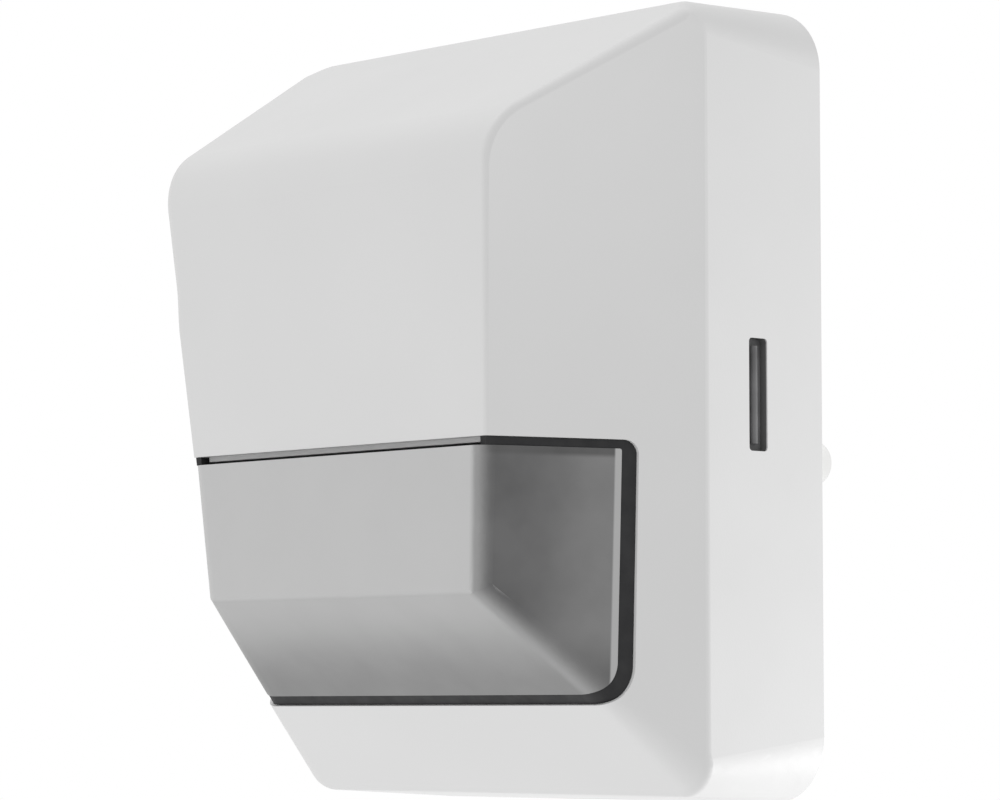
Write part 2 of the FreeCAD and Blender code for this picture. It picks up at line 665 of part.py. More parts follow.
def snap_hook():
    """Springy tongue with a nose that stands behind the cover's side slot."""
    half_thick = 0.7
    foot_y = PLATE_FRONT - 0.3 - half_thick
    tip_y = SLOT_Y - 3.2
    tall = HOOK_HALF_TALL
    tongue = box(HOOK_X - half_thick, HOOK_X + half_thick, tip_y, foot_y, -tall, tall)
    foot = rod_z(HOOK_X, foot_y, half_thick, -tall, tall)
    nose_half = 0.6
    reach = 2.45
    nose = box(HOOK_X, HOOK_X + reach, SLOT_Y - nose_half, SLOT_Y + nose_half, -tall, tall)
    ramp_points = [
        Vector(HOOK_X + half_thick, tip_y + 0.4, -tall),
        Vector(HOOK_X + reach, SLOT_Y - nose_half, -tall),
        Vector(HOOK_X, SLOT_Y - nose_half, -tall),
        Vector(HOOK_X, tip_y + 0.4, -tall),
    ]
    ramp = Part.Face(Part.makePolygon(ramp_points + ramp_points[:1])).extrude(Vector(0, 0, 2 * tall))
    return joined([tongue, foot, nose, ramp])


# ---- circuit board and its components -----------------------------------------------------
def circuit_board():
    middle = (BOARD_TOP + BOARD_BOTTOM) / 2
    half_tall = (BOARD_TOP - BOARD_BOTTOM) / 2
    board = slab(BOARD_HALF_WIDE, half_tall, 2.0, BOARD_FRONT, BOARD_BACK, middle)
    for x, z in POSTS:
        board = board.cut(rod_y(x, z, 1.7, -20, 0))
    return board


def board_screws():
    seat = BOARD_FRONT - FIT_GAP
    return group([screw(x, z, seat, 2.6, 1.9, 1.1, 7.6) for x, z in POSTS])


POLES = 4
POLE_PITCH = 8.0
BLOCK_Z = (3.6, 16.6)
BLOCK_TALL = 12.4
BLOCK_FRONT = BOARD_FRONT - BLOCK_TALL
CAGE_HALF = 2.6
CAGE_Y = (BOARD_FRONT - 6.6, BOARD_FRONT - 1.4)
CAGE_Z = (6.2, 13.2)
WIRE_R = 1.75
POLE_SCREW_Z = 9.7


def pole_positions():
    return [(index - (POLES - 1) / 2) * POLE_PITCH for index in range(POLES)]


def terminal_block():
    half = POLES * POLE_PITCH / 2
    body = box(-half, half, BLOCK_FRONT, BOARD_FRONT, *BLOCK_Z)
    front_edges = [edge for edge in body.Edges if abs(edge.CenterOfMass.y - BLOCK_FRONT) < 0.01]
    body = body.makeChamfer(0.6, front_edges)
    # sloping shoulder below the screw wells
    shoulder_points = [(BLOCK_FRONT - 1, 2.0), (BLOCK_FRONT - 1, 6.0), (BLOCK_FRONT + 5.5, 2.0)]
    body = body.cut(prism_x(shoulder_points, [0, 0, 0], -half - 1, half + 1))
    wire_y = (CAGE_Y[0] + CAGE_Y[1]) / 2
    for x in pole_positions():
        cage = box(
            x - CAGE_HALF - FIT_GAP,
            x + CAGE_HALF + FIT_GAP,
            CAGE_Y[0] - FIT_GAP,
            CAGE_Y[1] + FIT_GAP,
            CAGE_Z[0] - FIT_GAP,
            CAGE_Z[1] + FIT_GAP,
        )
        body = body.cut(cage)
        body = body.cut(rod_z(x, wire_y, WIRE_R + 0.1, CAGE_Z[1], BLOCK_Z[1] + 1))
        body = body.cut(rod_y(x, POLE_SCREW_Z, 1.95, BLOCK_FRONT - 1, CAGE_Y[0]))
    for x in pole_positions()[:-1]:
        groove_x = x + POLE_PITCH / 2
        body = body.cut(box(groove_x - 0.3, groove_x + 0.3, BLOCK_FRONT - 1, BLOCK_FRONT + 3.2, 2, 18))
    return body


def terminal_clamps():
    cages = []
    wire_y = (CAGE_Y[0] + CAGE_Y[1]) / 2
    for x in pole_positions():
        cage = box(x - CAGE_HALF, x + CAGE_HALF, *CAGE_Y, *CAGE_Z)
        cage = cage.cut(rod_z(x, wire_y, WIRE_R, CAGE_Z[0] + 1.0, CAGE_Z[1] + 1))
        cage = cage.cut(rod_y(x, POLE_SCREW_Z, 1.25, CAGE_Y[0] - 1, wire_y))
        cages.append(cage)
    return group(cages)


def terminal_screws():
    pieces = []
    for x in pole_positions():
        body = rod_y(x, POLE_SCREW_Z, 1.8, CAGE_Y[0] - 3.6, CAGE_Y[0] - FIT_GAP)
        tip = rod_y(x, POLE_SCREW_Z, 1.15, CAGE_Y[0] - 1.0, CAGE_Y[0] + 0.8)
        slot_z = (POLE_SCREW_Z - 0.3, POLE_SCREW_Z + 0.3)
        slot = box(x - 2, x + 2, CAGE_Y[0] - 4.0, CAGE_Y[0] - 2.6, *slot_z)
        pieces.append(joined([body, tip]).cut(slot))
    return group(pieces)


def soft_box(x_low, x_high, tall, z_low, z_high, radius):
    """Moulded component body that stands on the board, all outer edges rounded."""
    body = box(x_low, x_high, BOARD_FRONT - tall, BOARD_FRONT, z_low, z_high)
    edges = [edge for edge in body.Edges if edge.CenterOfMass.y < BOARD_FRONT - 0.01]
    return body.makeFillet(radius, edges)


def relay():
    return soft_box(-24.2, -14.0, 15.4, -31.4, -12.4, 0.7)


def film_capacitor():
    return soft_box(14.0, 24.2, 11.0, -32.0, -25.2, 0.6)


CAN_X = 19.0
CAN_Z = -16.6


def electrolytic_capacitor():
    radius = 5.0
    sleeve = rod_y(CAN_X, CAN_Z, radius, BOARD_FRONT - 16.0, BOARD_FRONT)
    rims = [edge for edge in sleeve.Edges if abs(edge.CenterOfMass.y - BOARD_FRONT) > 15]
    sleeve = sleeve.makeFillet(0.7, [edge for edge in rims if edge.Closed and edge.Length > 20])
    # rolled-in waist near the foot
    waist = Part.makeTorus(radius + 0.5, 0.9, Vector(CAN_X, BOARD_FRONT - 2.2, CAN_Z), Vector(0, 1, 0))
    sleeve = sleeve.cut(waist)
    # pressure-relief cross in the top
    top = BOARD_FRONT - 16.0
    for half_x, half_z in ((3.2, 0.25), (0.25, 3.2)):
        groove = box(CAN_X - half_x, CAN_X + half_x, top - 1, top + 0.3, CAN_Z - half_z, CAN_Z + half_z)
        sleeve = sleeve.cut(groove)
    return sleeve


def varistor():
    centre_y = BOARD_FRONT - 5.9
    disc = rod_z(21.2, centre_y, 4.4, 3.4, 6.8)
    disc = disc.makeFillet(1.1, [edge for edge in disc.Edges if edge.Closed and edge.Length > 20])
    legs = [rod_y(21.2 + shift, 5.1, 0.35, BOARD_FRONT - 3.2, BOARD_FRONT) for shift in (-2.5, 2.5)]
    return joined([disc] + legs)


def choke():
    """Drum-core coil: two ferrite flanges and the winding between them."""
    x, z = -21.2, 5.0
    flange_r, core_r = 4.1, 3.5
    foot = rod_y(x, z, flange_r, BOARD_FRONT - 1.3, BOARD_FRONT)
    head = rod_y(x, z, flange_r, BOARD_FRONT - 9.6, BOARD_FRONT - 8.3)
    winding = rod_y(x, z, core_r, BOARD_FRONT - 8.6, BOARD_FRONT - 1.0)
    return joined([foot, winding, head])


FUSE_Z = -38.6
FUSE_Y = BOARD_FRONT - 2.9
FUSE_R = 2.5


def fuse():
    glass = rod_x(FUSE_Y, FUSE_Z, FUSE_R - 0.25, -8.5, 8.5)
    caps = [rod_x(FUSE_Y, FUSE_Z, FUSE_R, -10.0, -5.8), rod_x(FUSE_Y, FUSE_Z, FUSE_R, 5.8, 10.0)]
    return joined([glass] + caps)


def fuse_clips():
    clips = []
    half_tall = FUSE_R + 0.6
    for x in (-7.9, 7.9):
        cradle_z = (FUSE_Z - half_tall, FUSE_Z + half_tall)
        cradle = box(x - 1.6, x + 1.6, FUSE_Y - 0.6, BOARD_FRONT, *cradle_z)
        hollow = rod_x(FUSE_Y, FUSE_Z, FUSE_R + FIT_GAP, x - 2, x + 2)
        clips.append(cradle.cut(hollow))
    return group(clips)


def control_chips():
    chips = []
    for x_low, x_high, z_low, z_high, tall in (
        (13.2, 18.8, -43.0, -34.6, 1.7),
        (-18.6, -13.4, -40.6, -34.4, 2.4),
        (6.6, 10.2, -8.0, 0.0, 1.5),
    ):
        chips.append(soft_box(x_low, x_high, tall, z_low, z_high, 0.25))
    return group(chips)


def chip_legs():
    """Rows of tinned legs beside each control chip."""
    legs = []
    for x_low, x_high, z_low, z_high, pitch in (
        (13.2, 18.8, -43.0, -34.6, 1.27),
        (-18.6, -13.4, -40.6, -34.4, 2.54),
        (6.6, 10.2, -8.0, 0.0, 1.27),
    ):
        count = int((z_high - z_low - 0.6) / pitch) + 1
        first = (z_low + z_high) / 2 - (count - 1) * pitch / 2
        for index in range(count):
            z = first + index * pitch
            for inner, outer in ((x_low - FIT_GAP, x_low - 1.0), (x_high + FIT_GAP, x_high + 1.0)):
                low, high = min(inner, outer), max(inner, outer)
                legs.append(box(low, high, BOARD_FRONT - 0.7, BOARD_FRONT, z - 0.22, z + 0.22))
    return group(legs)


def resistors():
    """Small axial resistors lying on the board."""
    pieces = []
    places = ((-8.6, -0.6, True), (-8.6, -8.4, True), (8.6, 1.9, False), (-3.0, -43.0, False))
    for x, z, upright in places:
        body = rod_x(BOARD_FRONT - 1.3, 0, 1.0, -2.6, 2.6)
        body = body.makeFillet(0.4, [edge for edge in body.Edges if edge.Closed and edge.Length > 5])
        lead = rod_x(BOARD_FRONT - 1.3, 0, 0.3, -3.6, 3.6)
        feet = [rod_y(shift, 0, 0.3, BOARD_FRONT - 1.3, BOARD_FRONT) for shift in (-3.6, 3.6)]
        whole = joined([body, lead] + feet)
        if upright:
            whole.rotate(Vector(0, 0, 0), Vector(0, 1, 0), 90)
        whole.translate(Vector(x, 0, z))
        pieces.append(whole)
    return group(pieces)


TRIMMER_TALL = 4.8
TRIMMER_HALF = 4.8
SHAFT_R = 1.5
SHAFT_RUN = 0.05
DIAL_BACK = BOARD_FRONT - TRIMMER_TALL - SLIDE_GAP
DIAL_TALL = 5.2
SHAFT_END = BOARD_FRONT - 1.8


def trimmers():
    bodies = []
    half = TRIMMER_HALF
    for x in DIAL_XS:
        body = soft_box(x - half, x + half, TRIMMER_TALL, DIAL_Z - half, DIAL_Z + half, 0.4)
        bodies.append(body.cut(rod_y(x, DIAL_Z, SHAFT_R + SHAFT_RUN, -40, SHAFT_END + 0.2)))
    return group(bodies)


def dial(x):
    """Adjusting knob: fluted rim, screwdriver slot, pointer ridge and its shaft."""
    front = DIAL_BACK - DIAL_TALL
    knob = rod_y(x, DIAL_Z, DIAL_R, front, DIAL_BACK)
    front_rim = [edge for edge in knob.Edges if edge.Closed and abs(edge.CenterOfMass.y - front) < 0.01]
    knob = knob.makeFillet(0.6, front_rim)
    flutes = 18
    for index in range(flutes):
        angle = 2 * math.pi * (index + 0.5) / flutes
        flute_x = x + (DIAL_R + 0.25) * math.sin(angle)
        flute_z = DIAL_Z + (DIAL_R + 0.25) * math.cos(angle)
        knob = knob.cut(rod_y(flute_x, flute_z, 0.5, front - 1, DIAL_BACK + 1))
    slot = box(x - 0.55, x + 0.55, front - 1, front + 1.4, DIAL_Z - 3.0, DIAL_Z + 3.0)
    arrow_points = [
        Vector(x - 1.3, front - 1, DIAL_Z + 1.6),
        Vector(x + 1.3, front - 1, DIAL_Z + 1.6),
        Vector(x, front - 1, DIAL_Z + 3.9),
    ]
    arrow = Part.Face(Part.makePolygon(arrow_points + arrow_points[:1])).extrude(Vector(0, 1.5, 0))
    shaft = rod_y(x, DIAL_Z, SHAFT_R, DIAL_BACK - 0.5, SHAFT_END)
    return joined([knob.cut(slot).cut(arrow), shaft])


# ---- infrared detectors and their bracket --------------------------------------------------
BRACKET_Z = (-33.0, -12.6)
BRACKET_BACK_HALF = 12.0
BRACKET_SHOULDER_Y = -23.4
BRACKET_NOSE_HALF = 3.0
BRACKET_NOSE_Y = BRACKET_SHOULDER_Y - (BRACKET_BACK_HALF - BRACKET_NOSE_HALF)
DETECTOR_Z = -22.4


def bracket_outline(inset, back_y, z):
    """Plan of the wedge: straight cheeks, two facets at 45 degrees and a flat nose."""
    facet_shift = inset * math.tan(math.radians(FACET_ANGLE / 2))
    half_back = BRACKET_BACK_HALF - inset
    half_nose = BRACKET_NOSE_HALF - facet_shift
    shoulder = BRACKET_SHOULDER_Y + facet_shift
    nose = BRACKET_NOSE_Y + inset
    points = [
        Vector(-half_back, back_y, z),
        Vector(half_back, back_y, z),
        Vector(half_back, shoulder, z),
        Vector(half_nose, nose, z),
        Vector(-half_nose, nose, z),
        Vector(-half_back, shoulder, z),
    ]
    return Part.Face(Part.makePolygon(points + points[:1]))


def sensor_bracket():
    wall = 1.6
    low, high = BRACKET_Z
    outer = bracket_outline(0, BOARD_FRONT, low).extrude(Vector(0, 0, high - low))
    hollow_up = Vector(0, 0, high - low - 2 * wall)
    inner = bracket_outline(wall, BOARD_FRONT + 1, low + wall).extrude(hollow_up)
    body = outer.cut(inner)
    front_limit = BRACKET_SHOULDER_Y + 0.1
    upright = [edge for edge in body.Edges if edge.Length > 20 and edge.CenterOfMass.y < front_limit]
    outer_edges = [edge for edge in upright if abs(edge.CenterOfMass.x) > 2.9]
    body = body.makeFillet(0.6, outer_edges)
    # louvres in the cheeks
    for z in (-28.5, -22.8, -17.1):
        body = body.cut(box(-20, 20, -21.5, -17.5, z - 1.2, z + 1.2))
    return body


def on_facet(shape, side):
    """Place a piece made about the origin, facing -Y, on the left or right facet."""
    middle_x = (BRACKET_BACK_HALF + BRACKET_NOSE_HALF) / 2
    middle_y = (BRACKET_SHOULDER_Y + BRACKET_NOSE_Y) / 2
    placed = shape.copy()
    placed.rotate(Vector(0, 0, 0), Vector(0, 0, 1), side * FACET_ANGLE)
    placed.translate(Vector(side * middle_x, middle_y, DETECTOR_Z))
    return placed


FACET_BOARD = 1.0
CAN_R = 4.1
CAN_TALL = 3.4


def detector_boards():
    board = slab(6.0, 8.4, 0.8, -FACET_BOARD - FIT_GAP, -FIT_GAP)
    return group([on_facet(board, side) for side in (-1, 1)])


def detector_can(side):
    back = -FACET_BOARD - 2 * FIT_GAP
    flange = rod_y(0, 0, CAN_R + 0.5, back - 0.6, back)
    can = rod_y(0, 0, CAN_R, back - CAN_TALL, back)
    top_y = back - CAN_TALL
    rim = [edge for edge in can.Edges if edge.Closed and abs(edge.CenterOfMass.y - top_y) < 0.01]
    can = can.makeFillet(0.5, rim)
    tab = box(-0.5, 0.5, back - 0.6, back, CAN_R, CAN_R + 1.2)
    tab.rotate(Vector(0, 0, 0), Vector(0, 1, 0), 45)
    body = joined([flange, can, tab])
    opening = box(-1.9, 1.9, back - CAN_TALL - 1, back - CAN_TALL + 0.8, -1.4, 1.4)
    return on_facet(body.cut(opening), side)


def detector_filters():
    """Dark infrared filter in the window of each detector can."""
    back = -FACET_BOARD - 2 * FIT_GAP - CAN_TALL
    gap = FIT_GAP
    pane = box(-1.9 + gap, 1.9 - gap, back + 0.2, back + 0.8 - gap, -1.4 + gap, 1.4 - gap)
    return group([on_facet(pane, side) for side in (-1, 1)])


PHOTOCELL_Z = -27.8
LED_Z = -16.8


def photocell():
    base_y = BRACKET_NOSE_Y - FIT_GAP
    body = rod_y(0, PHOTOCELL_Z, 2.5, base_y - 1.9, base_y)
    flats = box(-2.1, 2.1, base_y - 4, base_y + 1, -31, -24)
    body = body.common(flats)
    # winding track of the light-sensitive layer
    for index, x in enumerate((-1.2, -0.4, 0.4, 1.2)):
        shift = 0.25 if index % 2 else -0.25
        middle_z = PHOTOCELL_Z + shift
        track = box(x - 0.14, x + 0.14, base_y - 3, base_y - 1.7, middle_z - 1.4, middle_z + 1.4)
        body = body.cut(track)
    return body


def indicator_led():
    base_y = BRACKET_NOSE_Y - FIT_GAP
    flange = rod_y(0, LED_Z, 1.9, base_y - 0.9, base_y)
    barrel = rod_y(0, LED_Z, 1.5, base_y - 2.9, base_y)
    dome = Part.makeSphere(1.5, Vector(0, base_y - 2.9, LED_Z))
    return joined([flange, barrel, dome])


# ---- write every node ---------------------------------------------------------------------
def build_nodes():
    right_hook = snap_hook()
    nodes = {
        "front_cover": front_cover(),
        "lens": lens(),
        "lens_gasket": lens_gasket(),
        "lens_retainer": lens_retainer(),
        "release_pads": release_pads(),
        "retainer_screws": retainer_screws(),
        "base_plate": base_plate(),
        "edge_seal": edge_seal(),
        "wall_gasket": wall_gasket(),
        "cable_grommet": cable_grommet(),
        "cable_clamp": cable_clamp(),
        "cable_clamp_screws": cable_clamp_screws(),
        "snap_hook_right": right_hook,
        "snap_hook_left": mirrored(right_hook),
        "circuit_board": circuit_board(),
        "board_screws": board_screws(),
        "terminal_block": terminal_block(),
        "terminal_clamps": terminal_clamps(),
        "terminal_screws": terminal_screws(),
        "relay": relay(),
        "film_capacitor": film_capacitor(),
        "electrolytic_capacitor": electrolytic_capacitor(),
        "varistor": varistor(),
        "choke": choke(),
        "fuse": fuse(),
        "fuse_clips": fuse_clips(),
        "control_chips": control_chips(),
        "chip_legs": chip_legs(),
        "resistors": resistors(),
        "trimmers": trimmers(),
        "sensor_bracket": sensor_bracket(),
        "detector_boards": detector_boards(),
        "detector_left": detector_can(-1),
        "detector_right": detector_can(1),
        "detector_filters": detector_filters(),
        "photocell": photocell(),
        "indicator_led": indicator_led(),
    }
    for name, x in zip(DIAL_NAMES, DIAL_XS):
        nodes[name] = dial(x)
    return nodes


os.makedirs("parts", exist_ok=True)
for node_name, node_shape in build_nodes().items():
    count = len(node_shape.Solids)
    valid = node_shape.isValid()
    print(f"{node_name}: {count} solid(s), valid {valid}, {node_shape.Volume:.1f} mm3")
    node_shape.exportStep(f"parts/{node_name}.step")
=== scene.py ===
"""Looks of a wall-mounted motion sensor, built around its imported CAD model. Lengths are in metres."""
import json
import math

import bpy
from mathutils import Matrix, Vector
from mathutils.bvhtree import BVHTree


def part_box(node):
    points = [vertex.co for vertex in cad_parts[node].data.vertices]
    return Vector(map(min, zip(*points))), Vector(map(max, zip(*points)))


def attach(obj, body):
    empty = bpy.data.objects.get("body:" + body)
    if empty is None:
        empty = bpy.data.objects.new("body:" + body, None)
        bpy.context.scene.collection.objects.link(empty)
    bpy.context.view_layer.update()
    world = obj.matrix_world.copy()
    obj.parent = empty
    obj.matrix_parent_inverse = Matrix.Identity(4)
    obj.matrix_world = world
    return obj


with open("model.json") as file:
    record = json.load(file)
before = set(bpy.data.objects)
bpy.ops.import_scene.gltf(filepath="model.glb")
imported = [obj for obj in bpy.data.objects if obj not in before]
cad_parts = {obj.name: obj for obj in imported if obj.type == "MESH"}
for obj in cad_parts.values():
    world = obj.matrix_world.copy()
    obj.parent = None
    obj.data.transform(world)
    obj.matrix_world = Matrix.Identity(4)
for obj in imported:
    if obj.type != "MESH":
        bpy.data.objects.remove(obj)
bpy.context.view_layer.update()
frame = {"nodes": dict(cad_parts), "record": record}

MM = 0.001
SLOT_OF_NODE = {row["node"]: row["material_slot"] for row in frame["record"]["subparts"]}


# ---------------------------------------------------------------- material helpers

class Shader:
    """A material's node tree with short calls for the nodes that most finishes share."""

    def __init__(self, name, colour, roughness, **sockets):
        self.material = bpy.data.materials.new(name)
        self.material.use_nodes = True
        self.tree = self.material.node_tree
        self.principled = self.tree.nodes["Principled BSDF"]
        self.set("Base Color", (*colour, 1))
        self.set("Roughness", roughness)
        for socket, value in sockets.items():
            self.set(socket.replace("_", " "), value)
        self.place = self.add("ShaderNodeTexCoord").outputs["Object"]
        self.colour = colour
        self.roughness = roughness
        self.bump_height = None

    def add(self, kind, **settings):
        node = self.tree.nodes.new(kind)
        for name, value in settings.items():
            setattr(node, name, value)
        return node

    def set(self, socket, value):
        self.principled.inputs[socket].default_value = value

    def link(self, source, target):
        self.tree.links.new(source, target)

    def noise(self, size, detail=3.0):
        """A noise pattern whose grains are about size across, from 0 to 1."""
        node = self.add("ShaderNodeTexNoise")
        self.link(self.place, node.inputs["Vector"])
        node.inputs["Scale"].default_value = 1 / size
        node.inputs["Detail"].default_value = detail
        return node.outputs["Fac"]

    def cells(self, size):
        """The distance to the nearest of scattered points, which lie about size apart."""
        node = self.add("ShaderNodeTexVoronoi")
        self.link(self.place, node.inputs["Vector"])
        node.inputs["Scale"].default_value = 1 / size
        return node.outputs["Distance"]

    def spread(self, value, low, high):
        """A noise value, which lies mostly between 0.3 and 0.7, stretched to low and high."""
        node = self.add("ShaderNodeMapRange")
        self.link(value, node.inputs["Value"])
        for name, number in (("From Min", 0.3), ("From Max", 0.7), ("To Min", low), ("To Max", high)):
            node.inputs[name].default_value = number
        return node.outputs["Result"]

    def axis(self, place, letter):
        """One coordinate of a place or a direction."""
        node = self.add("ShaderNodeSeparateXYZ")
        self.link(place, node.inputs[0])
        return node.outputs[letter]

    def ease(self, value, start, end):
        """0 where value is at start, 1 where it is at end, with a smooth way between them."""
        node = self.add("ShaderNodeMapRange", interpolation_type="SMOOTHSTEP")
        self.link(value, node.inputs["Value"])
        node.inputs["From Min"].default_value = start
        node.inputs["From Max"].default_value = end
        return node.outputs["Result"]

    def maths(self, operation, *values):
        """A Math node; the values are sockets or numbers."""
        node = self.add("ShaderNodeMath", operation=operation)
        for socket, value in zip(node.inputs, values):
            if isinstance(value, bpy.types.NodeSocket):
                self.link(value, socket)
            else:
                socket.default_value = value
        return node.outputs[0]

    def inside(self, value, low, high):
        """1 where the value lies between low and high, and 0 elsewhere."""
        return self.maths("COMPARE", value, (low + high) / 2, (high - low) / 2)

    def mix(self, factor, first, second):
        """Colour first at factor 0 and second at factor 1. Both are colours or sockets."""
        node = self.add("ShaderNodeMix", data_type="RGBA")
        self.link(factor, node.inputs["Factor"])
        for socket, colour in ((node.inputs[6], first), (node.inputs[7], second)):
            if isinstance(colour, bpy.types.NodeSocket):
                self.link(colour, socket)
            else:
                socket.default_value = (*colour, 1)
        return node.outputs[2]

    def mottle(self, size, amount):
        """Lets the colour drift by amount over patches of about size."""
        darker = [c * (1 - amount) for c in self.colour]
        lighter = [min(1, c * (1 + amount)) for c in self.colour]
        colour = self.mix(self.spread(self.noise(size), 0, 1), darker, lighter)
        self.link(colour, self.principled.inputs["Base Color"])
        return colour

    def uneven_gloss(self, size, amount):
        """Lets the roughness drift by amount over patches of about size."""
        drift = self.spread(self.noise(size), self.roughness - amount, self.roughness + amount)
        self.link(drift, self.principled.inputs["Roughness"])

    def bump(self, height, depth):
        """Raises the surface by depth where height is 1. Several calls add up."""
        node = self.add("ShaderNodeBump")
        node.inputs["Distance"].default_value = depth
        node.inputs["Strength"].default_value = 1.0
        self.link(height, node.inputs["Height"])
        if self.bump_height:
            self.link(self.bump_height, node.inputs["Normal"])
        self.bump_height = node.outputs["Normal"]
        self.link(self.bump_height, self.principled.inputs["Normal"])


def moulded(name, colour, roughness, grain=0.25 * MM, depth=0.006 * MM):
    """A moulded plastic with the fine texture of an eroded mould."""
    shader = Shader(name, colour, roughness)
    shader.mottle(18 * MM, 0.02)
    shader.uneven_gloss(9 * MM, 0.04)
    shader.bump(shader.noise(grain, 2.0), depth)
    return shader


def metal(name, colour, roughness):
    """A plated metal with faint stains and fine scratches."""
    shader = Shader(name, colour, roughness, Metallic=1.0)
    shader.mottle(1.5 * MM, 0.10)
    shader.uneven_gloss(0.8 * MM, 0.10)
    shader.bump(shader.noise(0.15 * MM, 4.0), 0.004 * MM)
    return shader


def rubber(name, colour, roughness=0.75):
    """A soft rubber, dusty and matt."""
    shader = Shader(name, colour, roughness)
    shader.mottle(4 * MM, 0.25)
    shader.uneven_gloss(2 * MM, 0.08)
    shader.bump(shader.noise(0.15 * MM, 3.0), 0.010 * MM)
    return shader


# ---------------------------------------------------------------- the finish of each material slot

COVER_WHITE = (0.575, 0.575, 0.575)
# painted shade for the walls of the side slots
PAINTED_SLOT_SHADE = (0.11, 0.11, 0.11)
SLOT_EDGE = 0.1 * MM                   # from the pad in a side slot to the slot's wall, which the painted slot shade also covers
# The lens tones are painted light and shade, set by facing and position: the front is lightest, and the
# chin, the rounding and the sides get painted shade.
LENS_FRONT_LIT = (0.455, 0.455, 0.455)     # the milky sheet's front over the open middle, painted lighter than the rest
LENS_CHIN_SHADE_TOP = (0.365, 0.365, 0.365)
LENS_CHIN_SHADE_LOW = (0.175, 0.175, 0.175)  # painted shade at the chin's lower edge, for the black holder close behind it
LENS_EDGE_SHADE = (0.26, 0.26, 0.26)         # painted shade on the rounding between the front and the +X side
LENS_SIDE_SHADE_FRONT = (0.080, 0.080, 0.081)
LENS_SIDE_SHADE_REAR = (0.165, 0.165, 0.165)
LENS_SIDE_SHADE_LOW = (0.105, 0.105, 0.105)
LENS_SIDE_SHADE_TOP = (0.055, 0.055, 0.055)
LENS_LIP_LIGHT = (0.38, 0.38, 0.38)          # a painted lighter stripe along the thick turned-in edge at the rear
LENS_CHIN_TALL = 12 * MM               # from the lens's lower edge to its bend
LENS_FLANGE_DEEP = 4.2 * MM            # the hidden flange lies this far behind the visible edge
LENS_FLANGE_TALL = 3.3 * MM            # and this far above it


def cover_plastic():
    """White housing plastic, with painted shade on the walls of the side slots."""
    shader = Shader("cover_plastic", COVER_WHITE, 0.50)
    white = shader.mottle(18 * MM, 0.010)
    low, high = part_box("release_pads")
    across = shader.maths("ABSOLUTE", shader.axis(shader.place, "X"))
    in_slot = shader.inside(across, high.x - 3 * MM, high.x + 0.2 * MM)
    for letter, start, end in (("Y", low.y, high.y), ("Z", low.z, high.z)):
        place = shader.axis(shader.place, letter)
        in_slot = shader.maths("MULTIPLY", in_slot, shader.inside(place, start - SLOT_EDGE, end + SLOT_EDGE))
    # Painted shade: the walls of the side slots are coloured dark grey.
    colour = shader.mix(in_slot, white, PAINTED_SLOT_SHADE)
    shader.link(colour, shader.principled.inputs["Base Color"])
    shader.uneven_gloss(9 * MM, 0.04)
    shader.bump(shader.noise(0.25 * MM, 2.0), 0.006 * MM)
    return shader


def lens_frosted():
    """Milky sheet with its light and shade painted in by facing and position: lighter over the open middle,
    painted shade on the chin and the sides, where the black holder stands close behind.
    """
    low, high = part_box("lens")
    shader = Shader("lens_frosted", LENS_FRONT_LIT, 0.45, Transmission_Weight=0.06, IOR=1.45)
    depth = shader.axis(shader.place, "Y")
    height = shader.axis(shader.place, "Z")
    facing = shader.add("ShaderNodeTexCoord").outputs["Normal"]
    sideways = shader.axis(facing, "X")
    downwards = shader.axis(facing, "Z")
    edge_y = high.y - LENS_FLANGE_DEEP
    top_z = high.z - LENS_FLANGE_TALL
    # Painted shade on the downward-facing chin, darker towards its lower edge.
    lower = shader.ease(height, low.z + LENS_CHIN_TALL, low.z + 1 * MM)
    chin = shader.mix(lower, LENS_CHIN_SHADE_TOP, LENS_CHIN_SHADE_LOW)
    front = shader.mix(shader.ease(downwards, -0.2, -0.6), LENS_FRONT_LIT, chin)
    # Painted shade on the sides: darker towards the front, the bottom and the top, with a painted lighter
    # stripe at the rear edge.
    rearwards = shader.ease(depth, low.y + 4 * MM, edge_y - 1 * MM)
    side = shader.mix(rearwards, LENS_SIDE_SHADE_FRONT, LENS_SIDE_SHADE_REAR)
    side = shader.mix(shader.ease(height, low.z + 9 * MM, low.z + 2 * MM), side, LENS_SIDE_SHADE_LOW)
    side = shader.mix(shader.ease(height, top_z - 1.3 * MM, top_z - 0.6 * MM), side, LENS_SIDE_SHADE_TOP)
    side = shader.mix(shader.ease(depth, edge_y - 1.0 * MM, edge_y - 0.7 * MM), side, LENS_LIP_LIGHT)
    # Painted shade by facing: the rounding towards +X darkens from a slight turn, the one towards -X only
    # near the side, so that light seems to fall from -X.
    colour = shader.mix(shader.ease(sideways, 0.02, 0.35), front, LENS_EDGE_SHADE)
    colour = shader.mix(shader.ease(sideways, 0.35, 0.97), colour, side)
    colour = shader.mix(shader.ease(sideways, -0.70, -0.97), colour, side)
    drift = shader.spread(shader.noise(7 * MM), 0.0, 0.06)
    shader.link(shader.mix(drift, colour, (0.6, 0.6, 0.6)), shader.principled.inputs["Base Color"])
    shader.bump(shader.noise(0.12 * MM, 2.0), 0.004 * MM)
    return shader


def foam_rubber():
    shader = Shader("foam_rubber", (0.035, 0.035, 0.038), 0.9)
    shader.mottle(3 * MM, 0.25)
    shader.bump(shader.cells(0.45 * MM), 0.12 * MM)
    return shader


def board_laminate():
    """Solder mask over glass cloth, whose weave just shows through."""
    shader = Shader("board_laminate", (0.012, 0.10, 0.045), 0.30, Coat_Weight=0.4, Coat_Roughness=0.15)
    shader.mottle(5 * MM, 0.12)
    shader.bump(shader.noise(0.5 * MM, 1.0), 0.006 * MM)
    return shader


def brass_clamp():
    return metal("brass_clamp", (0.62, 0.42, 0.16), 0.32)


def film_capacitor_case():
    return moulded("film_capacitor_case", (0.62, 0.42, 0.05), 0.35, grain=0.3 * MM)


